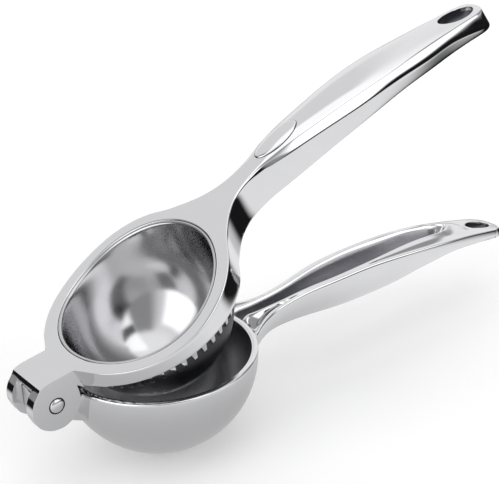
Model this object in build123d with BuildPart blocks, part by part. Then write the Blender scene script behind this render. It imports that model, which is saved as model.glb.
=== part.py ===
"""Hinged lemon squeezer: two cast levers on one rivet.

The lower lever carries the strainer bowl, the upper lever a ring that holds the press cup.
Millimetres, +Z up. The origin is the centre of the bowl's flat foot, +X runs along the
handles and the hinge rivet lies along Y. The upper lever is drawn part open.
"""
import math
import os

from build123d import *

os.makedirs("parts", exist_ok=True)

# --- strainer bowl ---
bowl_radius = 36.0
bowl_wall = 2.5
rim_collar = 1.0
foot_radius = 7.0
drain_radius = 1.5
drain_pitch = 5.2
drain_rings = 2

# --- hinge ---
ear_radius = 9.1
ear_thickness = 4.2
ear_to_bowl = 1.7
knuckle_radius = 6.6
knuckle_front = 5.3
knuckle_half_width = 4.5
side_gap = 0.3
knuckle_gap = 0.9
rivet_radius = 2.1
rivet_clearance = 0.05
head_radius = 2.8
head_recess_gap = 0.3
head_recess_depth = 0.6
head_rise = 0.5
neck_top_drop = 4.4
neck_foot_drop = 16.2
neck_tangent_angle = 250.0
neck_overlap = 7.5
rim_below_rivet = 1.1
rest_angle = 24.2

# --- ring of the upper lever: heights are measured from the rivet's axis ---
ring_width = 5.0
ring_low_height = 4.15
ring_mid_height = 5.1
tab_end_rise = 0.65
tab_root_rise = 3.3
tab_overhang = 2.8
tab_corner = 3.5
slot_shoulder = 2.4
ear_root_height = 3.1
ear_root_reach = 3.0

# --- press cup ---
cup_wall = 1.4
cup_lip_drop = 0.4
fin_count = 32
fin_thickness = 1.2
fin_height = 7.8
fin_to_bowl = 0.6
fin_land = 1.0

# --- handles: stations run from the bowl's outer edge towards the tips ---
upper_reach = 145.0
lower_reach = 141.7
handle_wall = 2.4
grip_skin = 3.4
hole_half_length = 8.0
hole_half_width = 4.4
hole_to_tip = 3.2
lower_hole_half_length = 6.2
lower_hole_half_width = 4.0
channel_to_hole = 5.0
lower_tip_radius = 6.0
upper_tip_radius = 5.0
neck_reach = 26.0
trough_nose = 9.0
trough_nose_half = 3.6
channel_nose = 8.0
channel_nose_half = 4.4
channel_root_half = 2.6
root_pocket_depth = 3.5
root_pocket_reach = 9.8
root_pocket_half = 11.0

# --- oval plate in the grip ---
plate_half_length = 10.2
plate_half_width = 4.6
plate_thickness = 1.0
plate_station = 38.5
plate_proud = 0.2
plate_fit = 0.05

# --- derived places ---
bowl_centre_height = math.sqrt(bowl_radius**2 - foot_radius**2)
rim_height = bowl_centre_height + rim_collar
bowl_inner_radius = bowl_radius - bowl_wall
ring_bore_radius = bowl_radius - ring_width
rivet_to_bowl = bowl_radius + ear_radius + ear_to_bowl
bowl_edge = rivet_to_bowl + bowl_radius
slot_half_width = knuckle_half_width + side_gap
hinge_half_width = slot_half_width + ear_thickness
seat = -rim_below_rivet
cutter = 3 * bowl_radius
hinge = (-rivet_to_bowl, 0, rim_height + rim_below_rivet)
turn = math.radians(rest_angle)
lever_x = (math.cos(turn), 0, math.sin(turn))
lever_z = (-math.sin(turn), 0, math.cos(turn))

# Plan and side planes of both levers, each with its origin on the rivet's axis.
arm_plan = Plane(origin=hinge)
arm_side = Plane(origin=hinge, x_dir=(1, 0, 0), z_dir=(0, -1, 0))
lever_plan = Plane(origin=hinge, x_dir=lever_x, z_dir=lever_z)
lever_side = Plane(origin=hinge, x_dir=lever_x, z_dir=(0, -1, 0))

print("rivet axis", hinge, "rim height", round(rim_height, 3))

# --- outlines ---
# Half widths of each handle in plan, as (share of the reach, half width). Each flare is the point
# on the bowl or ring where the handle starts, as shares of the bowl's radius.
upper_flare = (0.86, 0.51)
lower_flare = (0.9, 0.45)
upper_grip_half = 9.7
upper_neck_half = 4.1
upper_plan = [
    (0.032, 9.5),
    (0.081, 5.6),
    (0.143, upper_neck_half),
    (0.267, 6.2),
    (0.39, 7.8),
    (0.595, upper_grip_half),
    (0.826, 7.8),
    (1.0, 6.2),
]
lower_grip_half = 10.9
lower_neck_half = 6.4
lower_plan = [
    (0.025, 11.1),
    (0.069, 8.0),
    (0.114, 6.6),
    (0.178, lower_neck_half),
    (0.305, 8.7),
    (0.432, 9.6),
    (0.651, lower_grip_half),
    (0.877, 8.9),
    (1.0, 7.2),
]

# Heights above the rivet's axis along the side view.
# The ring's are at (share of the bowl's radius, height), the handles' at (share of the reach, height).
ring_top = [(-0.486, ring_low_height), (0.0, ring_mid_height), (0.4, 7.7), (0.75, 10.2)]
upper_top = [
    (0.03, 12.0),
    (0.143, 13.6),
    (0.267, 14.8),
    (0.39, 13.9),
    (0.515, 12.4),
    (0.64, 9.7),
    (0.763, 6.2),
    (0.888, 2.3),
    (1.0, -1.4),
]
upper_under = [
    (0.143, -0.6),
    (0.267, 0.8),
    (0.39, 1.4),
    (0.515, 1.5),
    (0.64, 0.3),
    (0.763, -2.9),
    (0.888, -6.4),
    (1.0, -9.9),
]
lower_top = [
    (0.06, -1.0),
    (0.114, -0.4),
    (0.241, 1.9),
    (0.37, 3.0),
    (0.56, 2.0),
    (0.686, 0.3),
    (0.813, -2.4),
    (0.94, -6.1),
    (1.0, -8.1),
]
lower_under = [
    (0.0, -9.8),
    (0.114, -9.8),
    (0.241, -10.5),
    (0.37, -11.0),
    (0.5, -10.6),
    (0.62, -8.8),
    (0.75, -8.3),
    (0.877, -10.4),
    (1.0, -13.2),
]


def along(reach, profile, drop=0.0):
    """Side-view points of a handle, lowered by drop."""
    return [(bowl_edge + share * reach, height - drop) for share, height in profile]


def lever_top(drop=0.0):
    """Top line of the upper lever from just behind the hinge tab to the tip."""
    ring = [(rivet_to_bowl + share * bowl_radius, height - drop) for share, height in ring_top]
    return ring + along(upper_reach, upper_top, drop)


def sides(reach, profile, inset=0.0):
    """Plan points of a handle's +Y side, moved in by inset."""
    return [(bowl_edge + share * reach, half - inset) for share, half in profile]


def flipped(points):
    return [(x, -y) for x, y in points]


tab_end = (-tab_overhang, ear_radius + tab_end_rise)
tab_root = (ear_radius, ring_low_height + tab_root_rise)

# --- lower lever: bowl, handle and knuckle in one casting ---
lower_tip = bowl_edge + lower_reach
lower_hole_at = lower_tip - hole_to_tip - lower_hole_half_length
root_wall_half = lower_plan[2][1]
bowl_axis = Axis((0, 0, 0), (0, 0, 1))

with BuildPart() as channel:
    # Open trough in the lower handle, clear of the bowl's wall, above a floor that follows the underside.
    trough_end = lower_hole_at - lower_hole_half_length - channel_to_hole
    nose_start = trough_end - trough_nose
    inner = [p for p in sides(lower_reach, lower_plan[2:], handle_wall) if p[0] < nose_start]
    inner = [(bowl_edge - bowl_wall, inner[0][1])] + inner + [(nose_start, trough_nose_half)]
    with BuildSketch(arm_plan) as trough_plan:
        with BuildLine():
            Spline(*inner)
            ThreePointArc(inner[-1], (trough_end, 0), (inner[-1][0], -inner[-1][1]))
            Spline(*flipped(inner))
            Line(inner[0], flipped(inner)[0])
        make_face()
        with Locations((rivet_to_bowl, 0)):
            Circle(bowl_radius, mode=Mode.SUBTRACT)
    extrude(amount=bowl_radius, both=True)
    with BuildSketch(arm_side) as trough_side:
        floor = along(lower_reach, lower_under[:7], -handle_wall)
        trough_start = bowl_edge - bowl_wall
        ramp_top = (trough_end, floor[-1][1] + handle_wall)
        with BuildLine():
            Spline(*floor)
            Polyline(
                floor[-1],
                ramp_top,
                (trough_end, bowl_radius),
                (trough_start, bowl_radius),
                (trough_start, floor[0][1]),
                floor[0],
            )
        make_face()
    extrude(amount=bowl_radius, both=True, mode=Mode.INTERSECT)

with BuildPart() as lower_arm:
    # Handle: the side view carried across, trimmed to the plan view.
    with BuildSketch(arm_side) as lower_side_view:
        top = [(bowl_edge - bowl_wall, seat)] + along(lower_reach, lower_top)
        under = along(lower_reach, lower_under)
        with BuildLine():
            Line((rivet_to_bowl, seat), top[0])
            Spline(*top)
            Line(top[-1], under[-1])
            Spline(*under)
            Line(under[0], (rivet_to_bowl, under[0][1]))
            Line((rivet_to_bowl, under[0][1]), (rivet_to_bowl, seat))
        make_face()
    extrude(amount=bowl_radius, both=True)
    with BuildSketch(arm_plan) as lower_plan_view:
        flare = (rivet_to_bowl + lower_flare[0] * bowl_radius, lower_flare[1] * bowl_radius)
        edge = [flare] + sides(lower_reach, lower_plan)
        with BuildLine():
            Spline(*edge)
            Line(edge[-1], flipped(edge)[-1])
            Spline(*flipped(edge))
            Line(flipped(edge)[0], flare)
        make_face()
        tips = lower_plan_view.vertices().group_by(Axis.X)[-1]
        fillet(tips, radius=lower_tip_radius)
    extrude(amount=bowl_radius, both=True, mode=Mode.INTERSECT)
    # Bowl.
    with BuildSketch(Plane.XZ) as bowl_section:
        with BuildLine():
            Line((0, 0), (foot_radius, 0))
            foot_angle = math.degrees(math.acos(foot_radius / bowl_radius))
            CenterArc((0, bowl_centre_height), bowl_radius, -foot_angle, foot_angle)
            Line((bowl_radius, bowl_centre_height), (bowl_radius, rim_height))
            Line((bowl_radius, rim_height), (0, rim_height))
            Line((0, rim_height), (0, 0))
        make_face()
    revolve(axis=bowl_axis)
    # Knuckle and the neck that carries it, which runs into the bowl's hollow and is cut there.
    with BuildSketch(arm_side) as knuckle_view:
        Circle(knuckle_radius)
        neck_tangent = math.radians(neck_tangent_angle)
        neck_end = rivet_to_bowl - math.sqrt(bowl_radius**2 - neck_top_drop**2) + neck_overlap
        with BuildLine():
            Polyline(
                (knuckle_radius * math.cos(neck_tangent), knuckle_radius * math.sin(neck_tangent)),
                (neck_end, -neck_foot_drop),
                (neck_end, -neck_top_drop),
                (0, -neck_top_drop),
                close=True,
            )
        make_face()
    extrude(amount=knuckle_half_width, both=True)
    with BuildSketch(arm_side) as knuckle_flat:
        with Locations((-knuckle_front, 0)):
            Rectangle(knuckle_radius, 2 * knuckle_radius, align=(Align.MAX, Align.CENTER))
    extrude(amount=hinge_half_width, both=True, mode=Mode.SUBTRACT)
    # Hollow of the bowl.
    with BuildSketch(Plane.XZ) as hollow_section:
        with BuildLine():
            Line((0, bowl_centre_height - bowl_inner_radius), (0, rim_height + bowl_radius))
            Line((0, rim_height + bowl_radius), (bowl_inner_radius, rim_height + bowl_radius))
            Line((bowl_inner_radius, rim_height + bowl_radius), (bowl_inner_radius, bowl_centre_height))
            CenterArc((0, bowl_centre_height), bowl_inner_radius, -90, 90)
        make_face()
    revolve(axis=bowl_axis, mode=Mode.SUBTRACT)
    # Drain holes in rings round the foot's centre, six more in each ring.
    with BuildSketch(Plane.XY) as drains:
        for ring in range(1, drain_rings + 1):
            holes = 6 * ring
            with PolarLocations(ring * drain_pitch, holes, start_angle=180 / holes):
                Circle(drain_radius)
    extrude(amount=bowl_centre_height, mode=Mode.SUBTRACT)
    # Trough, shallow pockets beside its root, hanging hole and rivet bore.
    add(channel.part, mode=Mode.SUBTRACT)
    with BuildSketch(arm_plan.offset(seat - root_pocket_depth)) as root_pockets:
        Polygon(
            (rivet_to_bowl, root_wall_half),
            (bowl_edge + root_pocket_reach, root_wall_half),
            (bowl_edge, root_pocket_half),
            (rivet_to_bowl, root_pocket_half),
            align=None,
        )
        with Locations((rivet_to_bowl, 0)):
            Circle(bowl_radius, mode=Mode.SUBTRACT)
        mirror(about=Plane.XZ)
    extrude(amount=bowl_radius, mode=Mode.SUBTRACT)
    with BuildSketch(arm_plan) as lower_hole:
        with Locations((lower_hole_at, 0)):
            Ellipse(lower_hole_half_length, lower_hole_half_width)
    extrude(amount=bowl_radius, both=True, mode=Mode.SUBTRACT)
    with BuildSketch(arm_side) as knuckle_bore:
        Circle(rivet_radius + rivet_clearance)
    extrude(amount=hinge_half_width, both=True, mode=Mode.SUBTRACT)
lower_arm.part.label = "lower_arm"
export_step(lower_arm.part, "parts/lower_arm.step")
print("lower arm", lower_arm.part.bounding_box(), lower_arm.part.is_valid, len(lower_arm.solids()))

# --- upper lever: hinge ears, ring and handle in one casting ---
upper_tip = bowl_edge + upper_reach
upper_hole_at = upper_tip - hole_to_tip - hole_half_length
ring_plan = Plane(origin=lever_plan.from_local_coords((rivet_to_bowl, 0, 0)), x_dir=lever_x, z_dir=lever_z)
ring_axis = Axis(ring_plan.origin, lever_z)
plate_at = bowl_edge + plate_station

with BuildPart() as underside_channel:
    # Trough in the underside of the grip, below a skin that follows the top line.
    channel_end = upper_hole_at - hole_half_length - channel_to_hole
    nose_start = channel_end - channel_nose
    inner = [p for p in sides(upper_reach, upper_plan[4:], handle_wall) if p[0] < nose_start]
    inner = [(bowl_edge + neck_reach + channel_nose, channel_root_half)] + inner + [(nose_start, channel_nose_half)]
    with BuildSketch(lever_plan) as channel_plan:
        with BuildLine():
            Spline(*inner)
            ThreePointArc(inner[-1], (channel_end, 0), (inner[-1][0], -inner[-1][1]))
            Spline(*flipped(inner))
            ThreePointArc(inner[0], (bowl_edge + neck_reach, 0), (inner[0][0], -inner[0][1]))
        make_face()
    extrude(amount=bowl_radius, both=True)
    with BuildSketch(lever_side) as channel_side:
        roof = along(upper_reach, upper_top[1:], grip_skin)
        with BuildLine():
            Line((roof[0][0], -bowl_radius), roof[0])
            Spline(*roof)
            Line(roof[-1], (roof[-1][0], -bowl_radius))
            Line((roof[-1][0], -bowl_radius), (roof[0][0], -bowl_radius))
        make_face()
    extrude(amount=bowl_radius, both=True, mode=Mode.INTERSECT)

with BuildPart() as plate_seat:
    # Oval pocket for the plate, sunk into the top line.
    with BuildSketch(lever_plan) as oval_pocket:
        with Locations((plate_at, 0)):
            Ellipse(plate_half_length + plate_fit, plate_half_width + plate_fit)
    extrude(amount=bowl_radius, both=True)
    with BuildSketch(lever_side) as pocket_side:
        bed = lever_top(plate_thickness - plate_proud)[3:]
        with BuildLine():
            Spline(*bed)
            Line(bed[-1], (bed[-1][0], bowl_radius))
            Line((bed[-1][0], bowl_radius), (bed[0][0], bowl_radius))
            Line((bed[0][0], bowl_radius), bed[0])
        make_face()
    extrude(amount=bowl_radius, both=True, mode=Mode.INTERSECT)

with BuildPart() as upper_arm:
    # Side view of tab, ring and handle, carried across and trimmed to the plan view.
    with BuildSketch(lever_side) as upper_side_view:
        top = lever_top()
        under = along(upper_reach, upper_under)
        ring_start = rivet_to_bowl - bowl_radius
        with BuildLine():
            Spline(tab_root, *top)
            Line(top[-1], under[-1])
            Spline((bowl_edge - bowl_wall, seat), *under)
            Polyline(
                (bowl_edge - bowl_wall, seat),
                (ring_start, seat),
                (knuckle_radius, slot_shoulder),
                (-tab_overhang, slot_shoulder),
                tab_end,
                tab_root,
            )
        make_face()
    extrude(amount=bowl_radius, both=True)
    with BuildSketch(lever_plan) as upper_plan_view:
        with Locations((rivet_to_bowl, 0)):
            Circle(bowl_radius)
        flare = (rivet_to_bowl + upper_flare[0] * bowl_radius, upper_flare[1] * bowl_radius)
        edge = [flare] + sides(upper_reach, upper_plan)
        with BuildLine():
            Spline(*edge)
            Line(edge[-1], flipped(edge)[-1])
            Spline(*flipped(edge))
            Line(flipped(edge)[0], flare)
        make_face()
        fillet(upper_plan_view.vertices().group_by(Axis.X)[-1], radius=upper_tip_radius)
        with Locations(((rivet_to_bowl - tab_overhang) / 2, 0)):
            Rectangle(rivet_to_bowl + tab_overhang, 2 * hinge_half_width)
        corners = upper_plan_view.vertices().filter_by_position(Axis.X, ring_start, ring_start + ear_radius)
        fillet(corners, radius=tab_corner)
    extrude(amount=bowl_radius, both=True, mode=Mode.INTERSECT)
    # Ears either side of the knuckle, and room for the knuckle between them.
    with BuildSketch(lever_side.offset(-hinge_half_width)) as ears:
        Circle(ear_radius)
        with BuildLine():
            Polyline(
                tab_end,
                tab_root,
                (ring_start + ear_root_reach, ear_root_height),
                (ring_start + ear_root_reach, seat),
                (0, seat),
                close=True,
            )
        make_face()
    extrude(amount=2 * hinge_half_width)
    with BuildSketch(lever_side) as knuckle_room:
        Circle(knuckle_radius + knuckle_gap)
        Polygon(
            (-tab_overhang, slot_shoulder),
            (knuckle_radius, slot_shoulder),
            (ring_start, seat),
            (ring_start + ear_root_reach, seat),
            (ring_start + ear_root_reach, -bowl_radius),
            (-bowl_radius, -bowl_radius),
            (-bowl_radius, bowl_radius),
            (-tab_overhang, bowl_radius),
            align=None,
        )
    extrude(amount=slot_half_width, both=True, mode=Mode.SUBTRACT)
    # Bore for the press cup, through the ring.
    with BuildSketch(ring_plan) as cup_bore:
        Circle(ring_bore_radius)
    extrude(amount=bowl_radius, both=True, mode=Mode.SUBTRACT)
    # Hanging hole, trough, plate pocket, rivet bore and head recesses.
    with BuildSketch(lever_plan) as upper_hole:
        with Locations((upper_hole_at, 0)):
            Ellipse(hole_half_length, hole_half_width)
    extrude(amount=bowl_radius, both=True, mode=Mode.SUBTRACT)
    add(underside_channel.part, mode=Mode.SUBTRACT)
    add(plate_seat.part, mode=Mode.SUBTRACT)
    with BuildSketch(lever_side) as ear_bore:
        Circle(rivet_radius)
    extrude(amount=hinge_half_width, both=True, mode=Mode.SUBTRACT)
    with BuildSketch(lever_side.offset(hinge_half_width), lever_side.offset(-hinge_half_width)) as head_recess:
        Circle(head_radius + head_recess_gap)
    extrude(amount=head_recess_depth, both=True, mode=Mode.SUBTRACT)
upper_arm.part.label = "upper_arm"
export_step(upper_arm.part, "parts/upper_arm.step")
print("upper arm", upper_arm.part.bounding_box(), upper_arm.part.is_valid, len(upper_arm.solids()))

# --- press cup: a domed cup with fins that grip the rind ---
cup_radius = ring_bore_radius
cup_inner_radius = cup_radius - cup_wall
fin_reach = bowl_inner_radius - fin_to_bowl
dome_centre = seat - rim_collar
fin_foot = seat - fin_height
fin_foot_radius = math.sqrt(cup_radius**2 - (dome_centre - fin_foot) ** 2)
cup_side = Plane(origin=ring_plan.origin, x_dir=lever_x, z_dir=(0, -1, 0))

with BuildPart() as fin:
    with BuildSketch(Plane.XZ) as fin_view:
        with BuildLine():
            Polyline(
                (cup_inner_radius + cup_wall / 2, seat),
                (fin_reach, seat),
                (fin_reach, seat - fin_land),
                (fin_foot_radius, fin_foot),
                (fin_foot_radius - cup_wall / 2, fin_foot),
                close=True,
            )
        make_face()
    extrude(amount=fin_thickness / 2, both=True)

with BuildPart() as press_cup:
    with BuildSketch(cup_side) as cup_section:
        with BuildLine():
            Line((cup_inner_radius, dome_centre), (cup_inner_radius, bowl_radius))
            Line((cup_inner_radius, bowl_radius), (cup_radius, bowl_radius))
            Line((cup_radius, bowl_radius), (cup_radius, dome_centre))
            CenterArc((0, dome_centre), cup_radius, -90, 90)
            Line((0, dome_centre - cup_radius), (0, dome_centre - cup_inner_radius))
            CenterArc((0, dome_centre), cup_inner_radius, -90, 90)
        make_face()
    revolve(axis=ring_axis)
    with BuildSketch(lever_side) as lip_trim:
        lip = lever_top(cup_lip_drop)
        with BuildLine():
            Line((0, tab_end[1] - cup_lip_drop), lip[0])
            Spline(*lip)
            Line(lip[-1], (lip[-1][0], cutter))
            Line((lip[-1][0], cutter), (0, cutter))
            Line((0, cutter), (0, tab_end[1] - cup_lip_drop))
        make_face()
    extrude(amount=cutter, both=True, mode=Mode.SUBTRACT)
    with Locations(ring_plan.location):
        with PolarLocations(0, fin_count):
            add(fin.part)
press_cup.part.label = "press_cup"
export_step(press_cup.part, "parts/press_cup.step")
print("press cup", press_cup.part.bounding_box(), press_cup.part.is_valid, len(press_cup.solids()))

# --- hinge rivet: shank and two domed heads ---
rivet_plan = Plane(origin=hinge, x_dir=(0, 1, 0), z_dir=(0, 0, 1))
head_seat = hinge_half_width - head_recess_depth
head_top = hinge_half_width + head_rise
dome_height = head_top - head_seat
dome_radius = (head_radius**2 + dome_height**2) / (2 * dome_height)
dome_at = head_top - dome_radius
dome_angle = math.degrees(math.asin(head_radius / dome_radius))
with BuildPart() as hinge_rivet:
    with BuildSketch(rivet_plan) as rivet_section:
        with BuildLine():
            Line((-head_seat, -rivet_radius), (head_seat, -rivet_radius))
            Line((head_seat, -rivet_radius), (head_seat, -head_radius))
            CenterArc((dome_at, 0), dome_radius, -dome_angle, dome_angle)
            Line((head_top, 0), (-head_top, 0))
            CenterArc((-dome_at, 0), dome_radius, 180, dome_angle)
            Line((-head_seat, -head_radius), (-head_seat, -rivet_radius))
        make_face()
    revolve(axis=Axis(hinge, (0, 1, 0)))
hinge_rivet.part.label = "hinge_rivet"
export_step(hinge_rivet.part, "parts/hinge_rivet.step")
print("rivet", hinge_rivet.part.bounding_box(), hinge_rivet.part.is_valid, len(hinge_rivet.solids()))

# --- oval plate in the grip, left bare ---
with BuildPart() as grip_plate:
    with BuildSketch(lever_plan) as oval:
        with Locations((plate_at, 0)):
            Ellipse(plate_half_length, plate_half_width)
    extrude(amount=bowl_radius, both=True)
    with BuildSketch(lever_side) as plate_side:
        face = lever_top(-plate_proud)[3:]
        bed = lever_top(plate_thickness - plate_proud)[3:]
        with BuildLine():
            Spline(*face)
            Line(face[-1], bed[-1])
            Spline(*bed)
            Line(bed[0], face[0])
        make_face()
    extrude(amount=bowl_radius, both=True, mode=Mode.INTERSECT)
grip_plate.part.label = "grip_plate"
export_step(grip_plate.part, "parts/grip_plate.step")
print("plate", grip_plate.part.bounding_box(), grip_plate.part.is_valid, len(grip_plate.solids()))
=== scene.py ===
"""Hinged lemon squeezer: polished alloy levers, brushed steel press cup, riveted hinge.

Shapes are worked out in millimetres in the frame of the lever they belong to, with x along
the lever from the rivet's axis, y across and z up, and are placed in metres at the end. Both
handles start as a net of quads, laid row by row towards the tip, and then get their thickness,
crisp edges and a subdivision surface.
"""
import math

import bmesh
import bpy
from mathutils import Matrix, Vector


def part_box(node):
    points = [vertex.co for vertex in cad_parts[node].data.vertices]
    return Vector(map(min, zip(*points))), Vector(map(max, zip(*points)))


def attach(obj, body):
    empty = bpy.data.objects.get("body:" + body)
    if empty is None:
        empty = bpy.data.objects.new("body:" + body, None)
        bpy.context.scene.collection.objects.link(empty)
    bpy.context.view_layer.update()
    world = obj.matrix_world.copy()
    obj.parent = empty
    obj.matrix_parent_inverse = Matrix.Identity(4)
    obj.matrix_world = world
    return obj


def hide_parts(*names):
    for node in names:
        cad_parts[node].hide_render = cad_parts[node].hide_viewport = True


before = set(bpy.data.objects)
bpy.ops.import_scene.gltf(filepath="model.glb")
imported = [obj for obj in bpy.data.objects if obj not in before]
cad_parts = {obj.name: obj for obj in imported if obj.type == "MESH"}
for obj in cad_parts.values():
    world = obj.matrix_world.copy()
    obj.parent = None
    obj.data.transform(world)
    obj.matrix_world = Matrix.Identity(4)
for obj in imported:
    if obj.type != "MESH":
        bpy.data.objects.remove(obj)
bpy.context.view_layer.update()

MM = 0.001
MICRON = 0.000001

# --- sizes read from the frame ---
rivet_low, rivet_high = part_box("hinge_rivet")
rivet_centre = (rivet_low + rivet_high) / 2 / MM
lower_arm_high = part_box("lower_arm")[1]
bowl_radius = lower_arm_high.y / MM
lower_tip = lower_arm_high.x / MM - rivet_centre.x

# --- castings ---
rest_angle = 24.2
upper_reach = 145.0
bowl_wall = 2.5
foot_radius = 7.0
bowl_centre_height = math.sqrt(bowl_radius**2 - foot_radius**2)
rim_height = bowl_centre_height + 1.0
rim_round = 0.35
drain_radius = 1.5
drain_pitch = 5.2
drain_rings = 2
ring_radius = bowl_radius
ring_bore = 31.0
ring_segments = 48
ring_at = -rivet_centre.x
bowl_edge = ring_at + bowl_radius
upper_tip = bowl_edge + upper_reach
seat = rim_height - rivet_centre.z
edge_round = 0.7
edge_drop = 0.15

# --- hanging holes: middle, half length and half width ---
upper_hole = (upper_tip - 11.2, 8.7, 4.6)
lower_hole = (lower_tip - 10.2, 6.4, 4.0)

# --- hinge ---
tab_end = -2.8
ear_root = 10.8
hinge_end = 12.6
ear_radius = 9.1
ear_half = 9.0
slot_half = 4.8
slot_radius = 7.5
slot_end = 6.9
slot_end_height = 2.94
knuckle_half = 4.5
knuckle_radius = 6.6
knuckle_front = 5.3
shank_radius = 2.0
head_radius = 2.8
head_rise = 0.5

# --- press cup ---
cup_wall = 1.4
cup_fit = 0.05
cup_inner = ring_bore - cup_wall
dome_centre = seat - 1.0
fin_count = 48
fin_reach = bowl_radius - bowl_wall - 0.6

# --- upper grip: its hollow underside and its plate ---
hollow_start = 108.5
hollow_end = 204.5
grip_skin = 3.4
plate_at = bowl_edge + 38.5
plate_steps = 48


# --- lines of the levers ---
def curve(points):
    """A smooth line through (place, value) points, as a function of place."""
    xs, ys = zip(*points)
    chords = [(ys[i + 1] - ys[i]) / (xs[i + 1] - xs[i]) for i in range(len(xs) - 1)]
    slopes = [chords[0]]
    for i in range(1, len(xs) - 1):
        before, after = xs[i] - xs[i - 1], xs[i + 1] - xs[i]
        slopes.append((chords[i - 1] * after + chords[i] * before) / (before + after))
    slopes.append(chords[-1])

    def value(x):
        if x <= xs[0]:
            return ys[0] + slopes[0] * (x - xs[0])
        if x >= xs[-1]:
            return ys[-1] + slopes[-1] * (x - xs[-1])
        i = max(k for k in range(len(xs) - 1) if xs[k] <= x)
        h = xs[i + 1] - xs[i]
        s = (x - xs[i]) / h
        return (
            (2 * s**3 - 3 * s**2 + 1) * ys[i]
            + (s**3 - 2 * s**2 + s) * h * slopes[i]
            + (3 * s**2 - 2 * s**3) * ys[i + 1]
            + (s**3 - s**2) * h * slopes[i + 1]
        )

    return value


def ramp(x, start, end):
    """0 before start, 1 after end and a smooth rise between."""
    s = min(max((x - start) / (end - start), 0.0), 1.0)
    return s * s * (3 - 2 * s)


def cage(radius, segments):
    """Radius of a control polygon whose subdivision surface has this radius."""
    return radius * 3 / (2 + math.cos(2 * math.pi / segments))


upper_top = curve([
    (tab_end, 8.75), (-1.6, 9.8), (0.8, 9.85), (2.8, 9.35), (5.7, 8.5), (8.7, 7.6),
    (11.8, 6.65), (14.5, 5.9), (20.5, 4.85), (29.3, 4.15), (46.8, 5.1), (61.2, 7.7), (73.8, 10.2),
    (87.15, 12.0), (103.5, 13.6), (121.5, 14.8), (139.35, 13.9), (157.5, 12.4), (175.6, 9.7),
    (193.4, 6.2), (211.6, 2.3), (227.8, -1.4),
])
upper_under = curve([
    (80.0, seat), (103.5, -0.6), (121.5, 0.8), (139.35, 1.4), (157.5, 1.5), (175.6, 0.3),
    (193.4, -2.9), (211.6, -6.4), (227.8, -9.9),
])
upper_half = curve([
    (77.8, 18.3), (87.44, 9.5), (94.5, 5.6), (103.5, 4.1), (121.5, 6.2), (139.35, 7.8),
    (169.1, 9.7), (202.6, 7.8), (227.8, 6.2),
])
# How far below the top face the ridge along the upper grip's flank runs.
flank_drop = curve([
    (95, 2.5), (139.35, 3.7), (148, 4.0), (175.6, 4.1), (184.5, 4.3), (193, 4.3), (200, 4.1),
    (206, 4.3), (212, 5.0), (220, 6.4), (227.8, 7.4),
])

lower_top = curve([
    (80.3, -1.1), (91.3, -1.0), (98.95, -0.4), (116.95, 1.9), (135.2, 3.0), (162.15, 2.0),
    (180, 0.3), (198, -2.4), (216, -6.1), (224.5, -8.1),
])
lower_under = curve([
    (80.0, -9.8), (98.95, -9.8), (116.95, -10.5), (135.2, -11), (153.65, -10.6), (170.65, -8.8),
    (189.1, -8.3), (207.1, -10.4), (224.5, -13.2),
])
lower_half = curve([
    (79.2, 16.2), (86.3, 11.1), (92.6, 8.0), (98.95, 6.6), (108, 6.4), (126, 8.7), (144, 9.6),
    (175, 10.9), (207.1, 8.9), (224.5, 7.2),
])
trough_half = curve([
    (80, 3.2), (100, 3.4), (111, 3.9), (117, 4.7), (126, 6.0), (135, 6.5), (148, 6.6), (158, 5.9),
    (168, 5.3), (178, 5.05), (186, 4.5),
])
# How far the trough's lip stands above the handle's edge.
trough_ridge = curve([
    (80, 1.4), (95, 0.9), (112, 0.1), (135, 0.1), (153, 0.9), (167, 1.7), (178, 2.1), (186, 2.1),
])


# --- mesh tools ---
def lever_matrix(angle):
    """Places a lever's own frame, in millimetres, into the model's frame, in metres."""
    turn = Matrix.Rotation(-math.radians(angle), 4, "Y")
    return Matrix.Translation(rivet_centre * MM) @ turn @ Matrix.Scale(MM, 4)


LEVERS = {"upper_lever": lever_matrix(rest_angle), "lower_lever": lever_matrix(0.0)}


def verts_in(geom):
    """The vertices among what an operator made."""
    return [v for v in geom if isinstance(v, bmesh.types.BMVert)]


def spin_profile(bm, points, centre_x, steps, closed=False):
    """Revolves (radius, height) points round the vertical axis at centre_x."""
    verts = [bm.verts.new((centre_x + r, 0, z)) for r, z in points]
    edges = [bm.edges.new(pair) for pair in zip(verts, verts[1:])]
    if closed:
        edges.append(bm.edges.new((verts[-1], verts[0])))
    bmesh.ops.spin(
        bm, geom=verts + edges, cent=(centre_x, 0, 0), axis=(0, 0, 1), angle=2 * math.pi,
        steps=steps, use_merge=True,
    )
    bmesh.ops.remove_doubles(bm, verts=bm.verts, dist=0.001)


def arc(radius, height, start, end, steps):
    """Profile points on an arc about (0, height), with angles in degrees below the horizon."""
    points = []
    for i in range(steps + 1):
        a = math.radians(start + (end - start) * i / steps)
        points.append((radius * math.cos(a), height - radius * math.sin(a)))
    return points


def mirrored(right):
    """A whole row in order of y, from its right half with the middle place first."""
    return [(p[0], -p[1], *p[2:]) for p in reversed(right[1:])] + [tuple(p) for p in right]


def extrude_row(bm, row, places):
    """Extrudes a row of vertices to new places, in order of y, and returns the new row."""
    edges = [next(e for e in a.link_edges if e.other_vert(a) is b) for a, b in zip(row, row[1:])]
    fresh = verts_in(bmesh.ops.extrude_edge_only(bm, edges=edges)["geom"])
    fresh.sort(key=lambda v: v.co.y)
    for vert, place in zip(fresh, places):
        vert.co = Vector(place).to_3d()
    return fresh


def extrude_faces(bm, faces):
    """Extrudes faces, which stay in place, and returns the vertices of their copy."""
    return verts_in(bmesh.ops.extrude_face_region(bm, geom=faces, use_keep_orig=True)["geom"])


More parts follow.
